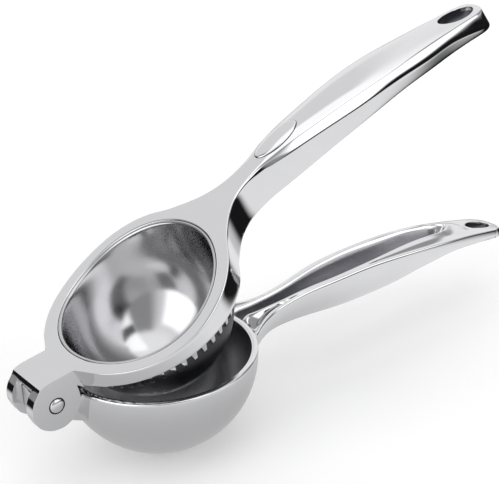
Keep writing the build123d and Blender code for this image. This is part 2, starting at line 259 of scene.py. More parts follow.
def rows_round_hole(hole, stations, half_of, shares):
    """Right halves of five rows round a hanging hole: two places in it, its edge, then the rest."""
    centre, half_length, half_width = hole
    rows = []
    for k, station in enumerate(stations):
        angle = math.radians(135 - 22.5 * k)
        rim = Vector((centre + half_length * math.cos(angle), half_width * math.sin(angle)))
        middle = Vector((rim.x, 0))
        inner = Vector((rim.x, rim.y / 2))
        if k in (0, len(stations) - 1):
            end = math.copysign(half_length, math.cos(angle))
            lift = math.radians(22.5)
            middle = Vector((centre + end, 0))
            inner = Vector((centre + end * math.cos(lift), half_width * math.sin(lift)))
        side = Vector((station, half_of(station)))
        rows.append([middle, inner, rim] + [rim.lerp(side, share) for share in shares] + [side])
    return rows


def in_oval(p, centre, half_length, half_width):
    """True for a point on or within a hanging hole's edge in plan."""
    return ((p.x - centre) / half_length) ** 2 + (p.y / half_width) ** 2 < 1.05


def mark_hole_wall(bm, centre, half_length, half_width):
    """Gives the wall of a hanging hole the piece's second material, painted dark as shade."""
    margin = 0.6
    bm.normal_update()
    for f in bm.faces:
        inside = all(in_oval(v.co, centre, half_length + margin, half_width + margin) for v in f.verts)
        f.material_index = int(inside and abs(f.normal.z) < 0.4)


def bevel_sharp(bm, width=edge_round, first_x=-1000.0, first_y=-1.0):
    """Rounds the sharp edges beyond a distance from the hinge or from the middle plane."""
    edges = [
        e for e in bm.edges
        if len(e.link_faces) == 2 and min(v.co.x for v in e.verts) > first_x
        and min(abs(v.co.y) for v in e.verts) > first_y
        and e.calc_face_angle() > math.radians(36)
    ]
    bmesh.ops.bevel(
        bm, geom=edges, offset=width, offset_type="OFFSET", segments=2, profile=0.5,
        affect="EDGES", material=-1, clamp_overlap=True,
    )
    bm.normal_update()


def finish_mesh(bm, name, body, materials, node, levels=2):
    """Turns a millimetre bmesh into a smooth piece that rides on a body and replaces a node."""
    bmesh.ops.transform(bm, matrix=LEVERS[body], verts=bm.verts)
    bmesh.ops.recalc_face_normals(bm, faces=bm.faces)
    for face in bm.faces:
        face.smooth = True
    mesh = bpy.data.meshes.new(name)
    bm.to_mesh(mesh)
    bm.free()
    piece = bpy.data.objects.new(name, mesh)
    bpy.context.collection.objects.link(piece)
    for material in materials:
        mesh.materials.append(material)
    if levels:
        subsurf = piece.modifiers.new("subdivision", "SUBSURF")
        subsurf.levels = levels
        subsurf.render_levels = levels
    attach(piece, body)
    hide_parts(node)
    return piece


# --- materials ---
def linear(code):
    """An sRGB hex colour as linear red, green, blue and alpha."""
    parts = [int(code[i : i + 2], 16) / 255 for i in (1, 3, 5)]
    flat = [c / 12.92 if c <= 0.04045 else ((c + 0.055) / 1.055) ** 2.4 for c in parts]
    return (*flat, 1.0)


def node(tree, kind, settings=(), inputs=(), links=()):
    """Adds a shader node with its settings, socket values and links into its sockets."""
    made = tree.nodes.new(kind)
    for key, value in dict(settings).items():
        setattr(made, key, value)
    for key, value in dict(inputs).items():
        made.inputs[key].default_value = value
    for key, source in dict(links).items():
        tree.links.new(source, made.inputs[key])
    return made


def blend(tree, mask, under, over):
    """Colour under, given as a colour or a socket, turned to colour over where the mask is 1."""
    values, links = {"B": over}, {"Factor": mask}
    kept = values if isinstance(under, tuple) else links
    kept["A"] = under
    return node(tree, "ShaderNodeMix", {"data_type": "RGBA"}, values, links).outputs["Result"]


def window(tree, source, low, high, soft):
    """1 while the source value lies between low and high, falling to 0 over the soft width."""
    rise = node(tree, "ShaderNodeMapRange", {"interpolation_type": "SMOOTHSTEP"}, {
        "From Min": low - soft, "From Max": low}, {"Value": source})
    fall = node(tree, "ShaderNodeMapRange", {"interpolation_type": "SMOOTHSTEP"}, {
        "From Min": high + soft, "From Max": high}, {"Value": source})
    return node(tree, "ShaderNodeMath", {"operation": "MULTIPLY"}, links={
        0: rise.outputs[0], 1: fall.outputs[0]}).outputs[0]


# How many soft patches of wear a polished or brushed surface has to the metre.
wear_scale = 55.0
# How far in metres a wall still counts as the side of a hollow, for the painted shade in hollows.
hollow_reach = 0.06


def metal(name, colour, roughness, grain, hollows=None):
    """Bare metal with fine grain lines along a piece and, if asked, painted shade and duller metal in its
    hollows.

    Grain is (lines to the metre along a piece and across it, roughness that they add, depth in
    microns).
    Hollows is (colour of the painted shade, roughness, how open a place is where the painted shade and
    dullness start and are full).
    """
    material = bpy.data.materials.new(name)
    material.use_nodes = True
    tree = material.node_tree
    shader = tree.nodes["Principled BSDF"]
    shader.inputs["Metallic"].default_value = 1.0
    along, across, added, depth = grain
    place = node(tree, "ShaderNodeTexCoord").outputs["Object"]
    drawn = node(tree, "ShaderNodeMapping", {}, {"Scale": (along, across, across)}, {"Vector": place})
    lines = node(
        tree, "ShaderNodeTexNoise", {}, {"Scale": 1.0, "Detail": 3.0}, {"Vector": drawn.outputs[0]},
    ).outputs[0]
    wear = node(
        tree, "ShaderNodeTexNoise", {},
        {"Scale": wear_scale, "Detail": 5.0, "Roughness": 0.6}, {"Vector": place},
    ).outputs[0]
    worn = node(tree, "ShaderNodeMath", {"operation": "MULTIPLY"}, {}, {0: lines, 1: wear})
    rough = node(
        tree, "ShaderNodeMapRange", {},
        {"From Min": 0.15, "From Max": 0.4, "To Min": roughness, "To Max": roughness + added},
        {"Value": worn.outputs[0]},
    ).outputs[0]
    bump = node(tree, "ShaderNodeBump", {}, {"Strength": 1.0, "Distance": depth * MICRON}, {"Height": lines})
    tree.links.new(bump.outputs[0], shader.inputs["Normal"])
    bright = linear(colour)
    tone = blend(tree, wear, bright, (*(c * 0.93 for c in bright[:3]), 1.0))
    if hollows:
        # Painted shade: the colour darkens where ambient occlusion finds walls close by, and the metal turns
        # rougher.
        tone, rough = shade_hollows(tree, tone, rough, *hollows)
    tree.links.new(tone, shader.inputs["Base Color"])
    tree.links.new(rough, shader.inputs["Roughness"])
    return material


def shade_hollows(tree, tone, rough, colour, roughness, start, full):
    """Paints shade into a metal's colour, and makes it rougher, where walls close it in."""
    hollow = node(
        tree, "ShaderNodeAmbientOcclusion", {"samples": 8, "only_local": True}, {"Distance": hollow_reach},
    )
    limits = {"From Min": start, "From Max": full}
    share = node(tree, "ShaderNodeMapRange", {}, limits, {"Value": hollow.outputs["AO"]}).outputs[0]
    links = {"A": rough, "Factor": share}
    dulled = node(tree, "ShaderNodeMix", {"data_type": "FLOAT"}, {"B": roughness}, links)
    return blend(tree, share, tone, linear(colour)), dulled.outputs[0]


def shade_between_fins(material):
    """Painted shade on the outside of the cup between its fins, under the ring, where the metal is also
    rougher.
    """
    tree = material.node_tree
    shader = tree.nodes["Principled BSDF"]
    place = node(tree, "ShaderNodeTexCoord").outputs["Object"]
    upper = LEVERS["upper_lever"]
    centre = upper @ Vector((ring_at, 0, dome_centre))
    offset = node(tree, "ShaderNodeVectorMath", {"operation": "SUBTRACT"}, {1: centre}, {0: place}).outputs[0]
    parts = []
    for axis in ((1, 0, 0), (0, 1, 0), (0, 0, 1)):
        turned = (upper.to_3x3() @ Vector(axis)).normalized()
        dot = node(tree, "ShaderNodeVectorMath", {"operation": "DOT_PRODUCT"}, {1: turned / MM}, {0: offset})
        parts.append(dot.outputs["Value"])
    forward, sideways, high = parts
    below = node(tree, "ShaderNodeMath", {"operation": "MINIMUM"}, {1: 0.0}, {0: high}).outputs[0]
    spoke = node(tree, "ShaderNodeCombineXYZ", {}, {}, {"X": forward, "Y": sideways, "Z": below}).outputs[0]
    reach = node(tree, "ShaderNodeVectorMath", {"operation": "LENGTH"}, {}, {0: spoke}).outputs["Value"]
    mask = window(tree, reach, ring_bore - 0.6, 60, 0.1)
    for limit in (window(tree, high, -16, 1.3, 3.0), window(tree, forward, -10, 60, 14)):
        mask = node(tree, "ShaderNodeMath", {"operation": "MULTIPLY"}, {}, {0: mask, 1: limit}).outputs[0]
    for socket, shaded in (("Base Color", linear("#505054")), ("Roughness", (0.4, 0.4, 0.4, 1.0))):
        source = shader.inputs[socket].links[0].from_socket
        tree.links.new(blend(tree, mask, source, shaded), shader.inputs[socket])


# Cast aluminium alloy polished to a mirror: sharp reflections over a faint lengthways grain, and
# painted shade in the hollows, where the metal is also rougher.
polished = metal("polished_alloy", "#E8E8EA", 0.04, (60, 900, 0.05, 1.2), ("#B0B0B4", 0.3, 0.6, 0.32))
# The same alloy on the round bowl, whose grain has no direction, with darker painted shade and rougher metal
# deep inside.
bowl_metal = metal(
    "polished_bowl_alloy", "#E8E8EA", 0.05, (400, 400, 0.03, 0.4), ("#8A8A8E", 0.42, 0.8, 0.42),
)
# The alloy on the walls of the hanging holes, painted dark as shade so that they look like dark ovals.
hole_shade_metal = metal("painted_shade_hole_wall", "#6E6E72", 0.2, (300, 300, 0.04, 0.6))
# Pressed stainless steel with a soft brushed sheen that blurs the windows into bands.
satin = metal("brushed_steel", "#CDCDCF", 0.13, (300, 300, 0.04, 0.4))
# The cup's steel gets painted shade between its fins.
shade_between_fins(satin)
# The same steel on the pressing fins, lighter in colour and a little smoother than on the cup.
fin_metal = metal("brushed_steel_fins", "#E2E2E4", 0.1, (300, 300, 0.04, 0.4))
# Turned steel of the rivet, a little duller than the castings.
rivet_metal = metal("rivet_steel", "#E8E8EA", 0.16, (700, 700, 0.08, 1.0))
# Dark, matt bands painted as the shade in the thin joints round the plate and the rivet heads, seen as fine
# outlines.
joint_shade_metal = metal("painted_joint_shade", "#39393C", 0.5, (700, 700, 0.1, 2.0))


# --- upper lever ---
# Levels of the casting's sides, from its top face down. Only the ears reach the last one.
TOP, SHOULDER, LEDGE, UNDER, EAR = range(5)


def ear_circle(x):
    """Height of the ears' round end above the rivet's axis."""
    return math.sqrt(max(cage(ear_radius, 18) ** 2 - x * x, 0.0))


def ear_under(x):
    """Lower edge of an ear: its round end, the notch behind it and the root beside the ring."""
    if x < 8.95:
        return -ear_circle(x)
    return 1.1 if x < 9.8 else -1.6


def slot_ceiling(x):
    """Underside of the tab, round the knuckle and down to the ring's seat."""
    if x < slot_end:
        return math.sqrt(max(slot_radius**2 - x * x, 0.0))
    share = min((x - slot_end) / (ear_root - slot_end), 1.0)
    return slot_end_height + (seat - slot_end_height) * share


def hinge_height(x, level):
    """Height of a point of the tab or of an ear."""
    if x < tab_end - 0.1:
        return ear_circle(x) * {TOP: 1, SHOULDER: 0.4, LEDGE: -0.25, UNDER: -0.7, EAR: -1}[level]
    if level == EAR:
        return ear_under(x)
    low = slot_ceiling(x) if x < ear_root else seat
    return upper_top(x) + (low - upper_top(x)) * level / UNDER


def place_top(x, y):
    """A point of the upper lever's top face, which is crowned along the grip."""
    crown = 1.5 * ramp(x, 96, 128) - 0.9 * ramp(x, 190, 224)
    across = min(abs(y) / max(upper_half(x), 0.1), 1.0)
    return Vector((x, y, upper_top(x) + crown * (1 - across**2.6)))


def place_side(x, y, level, outward):
    """A point below the top face: on the ring's straight wall or on the grip's flared flank."""
    top = upper_top(x)
    if x < 80:
        return Vector((x, y, top + (seat - top) * (level / UNDER)))
    flare = ramp(x, 92, 125)
    drop = flank_drop(x)
    shoulder = (0.54 - 0.32 * ramp(x, 178, 226)) * 0.5 * drop
    ledge = shoulder + (0.42 - 0.22 * ramp(x, 150, 174)) * 0.5 * drop
    if level == SHOULDER:
        return Vector((x, y, top - 0.5 * drop)) + outward * shoulder * flare
    if level == LEDGE:
        return Vector((x, y, top - drop)) + outward * ledge * flare
    under = upper_under(x)
    tuck = 0.045 * (top - drop - under)
    return Vector((x, y, under)) + outward * (ledge - tuck) * flare


def place_hollow(x, y, outward):
    """A point of the grip's hollow underside: its outer edge, rim, wall or ceiling."""
    half = upper_half(x)
    across = abs(y) / half
    if across > 0.9:
        return place_side(x, y, UNDER, outward)
    if across > 0.6:
        return Vector((x, math.copysign(half - 1.2, y), upper_under(x)))
    if across > 0.4:
        return Vector((x, math.copysign(half - 1.7, y), upper_top(x) - grip_skin))
    return Vector((x, y, upper_top(x) - grip_skin))


def place_casting(p, level, outward):
    """Where a point of the upper lever's flat net at this level really lies."""
    if p.x < hinge_end and (level or p.x < tab_end - 0.1):
        return Vector((p.x, p.y, hinge_height(p.x, level)))
    if level == TOP:
        return place_top(p.x, p.y)
    if level == UNDER and hollow_start < p.x < hollow_end and not in_opening(p):
        return place_hollow(p.x, p.y, outward)
    return place_side(p.x, p.y, level, outward)


def in_opening(p):
    """True for a point on the edge of the ring's bore or of the upper hanging hole."""
    in_bore = Vector((p.x - ring_at, p.y)).length < ring_bore + 1
    return in_bore or in_oval(p, *upper_hole)


def ring_verts(bm, radius, towards, spread):
    """Vertices at this radius from the ring's axis, within a spread of a direction in degrees."""
    found = []
    for v in bm.verts:
        offset = v.co - Vector((ring_at, 0, 0))
        turned = math.degrees(math.atan2(offset.y, offset.x)) - towards
        if abs(offset.length - radius) < 0.01 and abs((turned + 180) % 360 - 180) < spread + 0.1:
            found.append(v)
    return sorted(found, key=lambda v: v.co.y)


def grip_row(station, bulge=0.0):
    """Nine places across the upper handle, bowed towards the tip in the middle."""
    half = upper_half(station)
    return [(station + bulge * (1 - t * t), t * half) for t in [i / 4 for i in range(-4, 5)]]


def upper_tip_row():
    """The last row of the upper handle, round the tip's corners."""
    half, corner = 6.2, 5.0
    right = [(upper_tip, 0)]
    for angle in (8, 30, 54, 80):
        a = math.radians(angle)
        right.append((upper_tip - corner + corner * math.cos(a), half - corner + corner * math.sin(a)))
    return mirrored(right)


def lay_grip(bm, outer):
    """Lays the upper handle's rows from the ring's edge to the tip, and opens its hanging hole."""
    row = ring_verts(bm, outer, 0, 30)
    for station in (81.5, 84.6, 87.6, 90.8, 94.4, 98.5):
        row = extrude_row(bm, row, grip_row(station, 4.8 * max(0.0, (97 - station) / 19.2) ** 1.3))
    for station in [103.0, 107.6, 110.0] + [110.0 + 5.85 * i for i in range(1, 16)] + [201.5, 203.8]:
        row = extrude_row(bm, row, grip_row(station))
    rows = rows_round_hole(upper_hole, (206.6, 210.8, 214.9, 218.6, 221.4), upper_half, (0.5,))
    row = extrude_row(bm, row, mirrored(rows[0]))
    known = set(bm.faces)
    for right in rows[1:]:
        row = extrude_row(bm, row, mirrored(right))
    hole = [f for f in bm.faces if f not in known and abs(f.calc_center_median().y) < 3.6]
    extrude_row(bm, row, upper_tip_row())
    bmesh.ops.delete(bm, geom=hole, context="FACES")


def lay_tab(bm, outer):
    """Lays the hinge's tab and ears, from the ring's edge to the front of the ears."""
    row = ring_verts(bm, outer, 180, 22.5)
    rows = [
        [(9.9, 0), (10.1, 3.5), (10.9, 7.2), (12.1, 10.9)],
        [(9.3, 0), (9.4, 3.1), (9.8, 6.2), (11.0, 9.15)],
        [(9.0, 0), (9.0, 3.0), (9.2, 6.0), (9.55, ear_half)],
        [(8.3, 0), (8.3, 3.0), (8.5, 6.0), (8.75, ear_half)],
    ]
    rows += [[(x, 0), (x, 3.0), (x, slot_half), (x, ear_half)] for x in (7.3, 5.2, 2.7, 0.6, -1.6, tab_end)]
    for right in rows:
        row = extrude_row(bm, row, mirrored(right))
    left, right = row[:2], row[-2:]
    for x in (-5.6, -7.7, -8.95):
        left = extrude_row(bm, left, [(x, -ear_half), (x, -slot_half)])
        right = extrude_row(bm, right, [(x, slot_half), (x, ear_half)])


def thicken_net(bm):
    """Gives the flat net a copy one unit lower and walls, the outer ones with two loops.

    Returns the direction away from the net for each vertex that isn't in an opening.
    """
    bmesh.ops.recalc_face_normals(bm, faces=bm.faces)
    for v in extrude_faces(bm, bm.faces[:]):
        v.co.z = -1
    outer = [
        e for e in bm.edges
        if abs(e.verts[0].co.z - e.verts[1].co.z) > 0.5 and not in_opening(e.verts[0].co)
    ]
    bmesh.ops.subdivide_edges(bm, edges=outer, cuts=2, use_grid_fill=True)
    bmesh.ops.recalc_face_normals(bm, faces=bm.faces)
    bm.normal_update()
    return {v: Vector((v.normal.x, v.normal.y, 0)) for v in bm.verts if not in_opening(v.co)}


def lengthen_ears(bm):
    """Extrudes the ears down by one more level, on both sides of the slot."""
    ears = [
        f for f in bm.faces
        if all(v.co.z < -0.9 for v in f.verts)
        and f.calc_center_median().x < ear_root and abs(f.calc_center_median().y) > slot_half
    ]
    made = bmesh.ops.extrude_face_region(bm, geom=ears)["geom"]
    bmesh.ops.delete(bm, geom=[f for f in ears if f.is_valid], context="FACES")
    for v in verts_in(made):
        v.co.z = -EAR / UNDER


def build_upper_casting():
    """Ring, grip and hinge ears, cast in one."""
    bm = bmesh.new()
    ledge = bm.verts.layers.int.new("ledge")
    inner, outer = cage(ring_bore, ring_segments), cage(ring_radius, ring_segments)
    spin_profile(bm, [(inner, 0), ((inner + outer) / 2, 0), (outer, 0)], ring_at, ring_segments)
    lay_grip(bm, outer)
    lay_tab(bm, outer)
    outward = thicken_net(bm)
    lengthen_ears(bm)
    for v in bm.verts:
        level = round(-v.co.z * UNDER)
        v[ledge] = int(level == LEDGE and v.co.x > 96)
        away = outward.get(v, Vector((0, 0, 0)))
        if away.length > 0.01:
            away = away.normalized()
        v.co = place_casting(v.co.copy(), level, away)
    bm.normal_update()
    bevel_sharp(bm, first_x=13.5)
    bevel_sharp(bm, width=0.4, first_y=8.0)
    bevel_sharp(bm)
    crease = bm.edges.layers.float.new("crease_edge")
    for e in bm.edges:
        if all(v[ledge] for v in e.verts):
            e[crease] = 0.8 * ramp(e.verts[0].co.x, 96, 130)
    mark_hole_wall(bm, *upper_hole)
    finish_mesh(
        bm, "upper_lever_casting", "upper_lever", [polished, hole_shade_metal], "upper_arm",
    )


# --- press cup ---
def build_cup_shell():
    """The pressed cup with its rolled lip, whose wall and lip follow the ring's slanting top."""
    bm = bmesh.new()
    wall, half_way, lip = ring_bore - cup_fit, 3.0, 12.0
    profile = arc(wall, dome_centre, 90, 0, 10)
    profile += [(wall, half_way), (wall, lip + 0.1), (wall - 0.1, lip + 0.25)]
    profile += [(cup_inner + 0.75, lip + 0.25), (cup_inner + 0.25, lip + 0.05), (cup_inner, lip - 0.5)]
    profile += [(cup_inner, half_way)] + arc(cup_inner, dome_centre, 0, 90, 10)
    spin_profile(bm, profile, ring_at, 64)
    for v in bm.verts:
        top = upper_top(v.co.x)
        if v.co.z > lip - 0.6:
            v.co.z += top - 0.1 - (lip + 0.25)
        elif v.co.z > half_way - 0.1:
            v.co.z = (dome_centre + top) / 2
    finish_mesh(bm, "press_cup_shell", "upper_lever", [satin], "press_cup")


def build_fins():
    """Upright pressing fins round the cup, broad under the ring and narrow at the foot."""
    bm = bmesh.new()
    outline = [
        (ring_bore - 1.1, seat, 1.2), (fin_reach, seat, 1.2), (fin_reach, seat - 2.6, 1.15),
        (fin_reach - 0.8, seat - 5.6, 0.7), (fin_reach - 2.0, seat - 7.2, 0.4),
        (ring_bore - 1.3, seat - 7.6, 0.35),
    ]
    near, far = [
        [bm.verts.new((ring_at + r, side * half, z)) for r, z, half in outline] for side in (-1, 1)
    ]
    bm.faces.new(near)
    bm.faces.new(far[::-1])
    for i in range(len(outline)):
        j = (i + 1) % len(outline)
        bm.faces.new((near[j], near[i], far[i], far[j]))
    bmesh.ops.recalc_face_normals(bm, faces=bm.faces)
    bmesh.ops.bevel(
        bm, geom=bm.edges[:], offset=0.2, offset_type="OFFSET", segments=2, profile=0.5,
        affect="EDGES", material=-1, clamp_overlap=True,
    )
    bmesh.ops.spin(
        bm, geom=bm.verts[:] + bm.edges[:] + bm.faces[:], cent=(ring_at, 0, 0), axis=(0, 0, 1),
        angle=2 * math.pi * (fin_count - 1) / fin_count, steps=fin_count - 1, use_duplicate=True,
    )
    finish_mesh(bm, "press_cup_fins", "upper_lever", [fin_metal], "press_cup", levels=0)


# --- rivet ---
def lay_on_axis(bm):
    """Turns what was spun about the vertical to lie along the rivet's axis."""
    bmesh.ops.rotate(bm, cent=(0, 0, 0), matrix=Matrix.Rotation(math.pi / 2, 3, "X"), verts=bm.verts)


def build_rivet_heads():
    """Domed rivet heads on a shank across both ears."""
    bm = bmesh.new()
    top = ear_half + head_rise + 0.35
    foot = ear_half - 0.4
    half = [(0, top)]
    for k in range(1, 7):
        a = math.radians(15 * k)
        half.append(((head_radius - 0.15) * math.sin(a), top - 1.0 + math.cos(a)))
    half += [(head_radius - 0.2, foot), (shank_radius, foot)]
    whole = half + [(shank_radius, 0)] + [(r, -z) for r, z in reversed(half)]
    spin_profile(bm, whole, 0, 32)
    lay_on_axis(bm)
    finish_mesh(
        bm, "hinge_rivet_heads", "upper_lever", [rivet_metal], "hinge_rivet", levels=1,
    )


def build_rivet_joints():
    """A dark band round each rivet head, painted as the shade in its joint."""
    bm = bmesh.new()
    proud, sunk = 0.06, -0.1
    band = [
        (head_radius - 0.3, proud), (head_radius + 0.2, proud),
        (head_radius + 0.3, sunk), (head_radius - 0.3, sunk),
    ]
    for side in (-1, 1):
        spin_profile(bm, [(r, side * (ear_half + z)) for r, z in band], 0, 32, closed=True)
    lay_on_axis(bm)
    finish_mesh(bm, "rivet_joint_shades", "upper_lever", [joint_shade_metal], "hinge_rivet", levels=0)


# --- plate ---
def plate_patch(profile, half_length, half_width, depth):
    """An oval slab, or a band if no radius is 0, that follows the grip's crown.

    The profile is (share of the oval's radius, height above the grip) from the middle out.
    """
    bm = bmesh.new()
    rings = []
    for radius, lift in profile:
        ring = []
        for k in range(plate_steps if radius else 1):
            angle = 2 * math.pi * k / plate_steps
            x = plate_at + radius * half_length * math.cos(angle)
            y = radius * half_width * math.sin(angle)
            ring.append(bm.verts.new((x, y, place_top(x, y).z + lift)))
        rings.append(ring)
    for low, high in zip(rings, rings[1:]):
        for k in range(plate_steps):
            after = (k + 1) % plate_steps
            inside = [low[0]] if len(low) == 1 else [low[after], low[k]]
            bm.faces.new(inside + [high[k], high[after]])
    bmesh.ops.recalc_face_normals(bm, faces=bm.faces)
    for v in extrude_faces(bm, bm.faces[:]):
        v.co.z -= depth
    return bm


def build_plate():
    """Bare oval plate, slightly domed, and a dark band round it painted as the shade in its joint."""
    domed = [(0, 0.42), (0.35, 0.41), (0.65, 0.38), (0.86, 0.33), (0.96, 0.27), (1.0, 0.14)]
    plate = plate_patch(domed, 10.2, 4.6, 0.9)
    finish_mesh(plate, "oval_grip_plate", "upper_lever", [polished], "grip_plate", levels=0)
    joint = plate_patch([(0.95, 0.10), (1.0, 0.04)], 10.42, 4.82, 0.5)
    finish_mesh(joint, "plate_joint_shade", "upper_lever", [joint_shade_metal], "grip_plate", levels=0)


# --- bowl ---
def build_bowl():
    """The strainer bowl on its flat foot, with a rounded rim."""
    bm = bmesh.new()
    foot_angle = math.degrees(math.asin(bowl_centre_height / bowl_radius))
    inside = bowl_radius - bowl_wall
    outline = [(0, 0), (foot_radius * 0.6, 0), (foot_radius, 0)]
    outline += arc(bowl_radius, bowl_centre_height, foot_angle - 3, 0, 12)
    outline += [(bowl_radius, rim_height - rim_round), (bowl_radius - rim_round, rim_height)]
    outline += [(inside + rim_round, rim_height), (inside, rim_height - rim_round)]
    outline += arc(inside, bowl_centre_height, 0, 90, 14)
    spin_profile(bm, [(r, z - rivet_centre.z) for r, z in outline], ring_at, 64)
    drill_bowl(finish_mesh(
        bm, "strainer_bowl", "lower_lever", [bowl_metal], "lower_arm", levels=1,
    ))


def drill_bowl(bowl):
    """Cuts the drain holes, in rings round the foot's centre."""
    bm = bmesh.new()
    for ring in range(1, drain_rings + 1):
        for k in range(6 * ring):
            angle = 2 * math.pi * (k + 0.5) / (6 * ring)
            x = ring_at + ring * drain_pitch * math.cos(angle)
            y = ring * drain_pitch * math.sin(angle)
            bmesh.ops.create_cone(
                bm, cap_ends=True, segments=20, radius1=drain_radius, radius2=drain_radius, depth=16.0,
                matrix=Matrix.Translation((x, y, -rivet_centre.z)),
            )
    bmesh.ops.transform(bm, matrix=LEVERS["lower_lever"], verts=bm.verts)
    mesh = bpy.data.meshes.new("drills")
    bm.to_mesh(mesh)
    bm.free()
    drills = bpy.data.objects.new("drills", mesh)
    bpy.context.collection.objects.link(drills)
    cut = bowl.modifiers.new("drain_holes", "BOOLEAN")
    cut.object = drills
    cut.solver = "EXACT"
    cut.operation = "DIFFERENCE"
    drilled = bpy.data.meshes.new_from_object(bowl.evaluated_get(bpy.context.evaluated_depsgraph_get()))
    drilled.set_sharp_from_angle(angle=math.radians(40))
    bowl.modifiers.clear()
    bowl.data = drilled
    bpy.data.objects.remove(drills)
    bpy.data.meshes.remove(mesh)


# --- lower handle ---
# Columns of the handle's net, counted from its middle, that its ridges follow.
FLOOR_EDGE, LIP, RIM, POCKET_EDGE, HANDLE_EDGE = 1, 2, 3, 6, 7
# Levels of its side: the top face, half way down and the underside.
FACE, HALF_WAY, BELOW = range(3)
# Its rows as far as this one have the pockets beside the trough's root.
pocket_rows = 10
root_depth = 3.5


def lower_row(station, bulge=0.0):
    """Eight places from the middle of the lower handle to its edge, at one station."""
    half, inner = lower_half(station), trough_half(station)
    top, ridge = lower_top(station), trough_ridge(station)
    floor_height = lower_under(station) + 2.4 + 3.0 * ramp(station, 160, 190)
    wall, rim = inner + 1.0, half - 1.0
    root = 1 - ramp(station, 96, 102)
    places = [(0, floor_height), (0.74 * inner, floor_height), (inner, top + ridge)]
    places.append((wall, top + ridge * (1 - 0.2 * (1 - root))))
    for share, depth in ((0.33, 1.3), (0.67, root_depth)):
        slope = top + ridge * (1 - share) * (1 - root)
        places.append((wall + (rim - 0.5 * root - wall) * share, slope - depth * root))
    places += [(rim - 0.5 * root, top), (half, top - edge_drop)]
    return [(station + bulge * (1 - (y / half) ** 2), y, z) for y, z in places]


def lower_grip_rows():
    """Rows from the bowl's wall to where the trough starts to close."""
    first = []
    for y in (0, 2.6, 3.8, 4.8, 7.6, 11.4, 14.6, 16.6):
        dip = 0.6 if 5 < y < 14 else 0.0
        first.append((ring_at + math.sqrt(34.9**2 - y * y), y, seat - dip))
    rows = [first]
    for station in (80.6, 82.6, 84.8, 87.2, 89.8, 92.6, 95.6, 98.6, 101.6):
        rows.append(lower_row(station, 4.4 * max(0.0, (96 - station) / 16) ** 1.4))
    return rows + [lower_row(105.5 + 5.9 * i) for i in range(13)]


def trough_end_rows():
    """The trough's pointed end and the facets that fall from it to the tip's flat pad.

    Places are (x, y, height above the handle's edge).
    """
    end = [(189.5, 0, -5.2), (187.0, 2.3, -4.6), (184.6, 4.7, 2.1), (184.7, 5.6, 1.7), (184.8, 6.8, 1.1),
           (184.9, 8.1, 0.5), (185.0, 9.6, 0), (185.0, 10.7, -edge_drop)]
    point = [(195.6, 0, 2.8), (192.2, 2.0, 2.45), (188.8, 3.9, 2.1), (189.3, 4.9, 1.5), (189.8, 6.0, 0.8),
             (190.2, 7.1, 0.1), (190.3, 9.2, 0), (190.3, 10.3, -edge_drop)]
    facet = [(196.9, 0, 2.75), (195.2, 1.8, 2.1), (193.8, 3.5, 1.5), (192.8, 4.7, 1.0), (191.9, 5.9, 0.5),
             (191.2, 7.1, 0.05), (191.6, 9.1, 0), (191.8, 10.2, -edge_drop)]
    slope = [(200.6, 0, 1.3), (199.8, 1.7, 1.0), (199.2, 3.4, 0.75), (198.6, 4.7, 0.5), (198.0, 6.0, 0.25),
             (197.6, 7.2, 0.05), (197.4, 8.7, 0), (197.4, 9.7, -edge_drop)]
    pad = [(204.7, 0, 0), (204.6, 1.6, 0), (204.4, 3.2, 0), (204.1, 4.6, 0), (203.7, 5.9, 0),
           (203.2, 7.1, 0), (203.0, 8.3, 0), (203.0, 9.2, -edge_drop)]
    rows = [end, point, facet, slope, pad]
    return [[(x, y, lower_top(x) + rise) for x, y, rise in row] for row in rows]


def lower_hole_rows():
    """Rows round the hanging hole of the lower handle."""
    stations = (206.6, 209.6, 213.0, 216.2, 218.8)
    rows = rows_round_hole(lower_hole, stations, lower_half, (0.18, 0.38, 0.6, 0.84))
    drops = [0.0] * HANDLE_EDGE + [edge_drop]
    return [[(p.x, p.y, lower_top(p.x) - drop) for p, drop in zip(row, drops)] for row in rows]


def lower_tip_rows():
    """Two rows round the tip's end."""
    rows = []
    for inset, drop in ((1.0, 0.0), (0.0, edge_drop)):
        row = [(lower_tip - inset, 0)]
        for angle in (6, 16, 28, 40, 52, 66, 84):
            a = math.radians(angle)
            row.append((lower_tip - 6.0 + (6.0 - inset) * math.cos(a), 1.2 + (6.0 - inset) * math.sin(a)))
        rows.append([(x, y, lower_top(x) - drop) for x, y in row])
    return rows


def lay_lower_net(bm, rows, tags):
    """Lays the rows one after the other and tags each vertex with its row and column."""
    laid = None
    for number, right in enumerate(rows):
        places = mirrored(right)
        if laid is None:
            laid = [bm.verts.new(p) for p in places]
            for pair in zip(laid, laid[1:]):
                bm.edges.new(pair)
        else:
            laid = extrude_row(bm, laid, places)
        for i, v in enumerate(laid):
            v[tags["row"]] = number
            v[tags["column"]] = abs(i - HANDLE_EDGE)


def open_lower_hole(bm, tags, hole_row):
    """Deletes the net's faces within the hanging hole."""
    hole = [
        f for f in bm.faces
        if max(v[tags["column"]] for v in f.verts) <= LIP
        and all(hole_row <= v[tags["row"]] <= hole_row + 4 for v in f.verts)
    ]
    bmesh.ops.delete(bm, geom=hole, context="FACES")


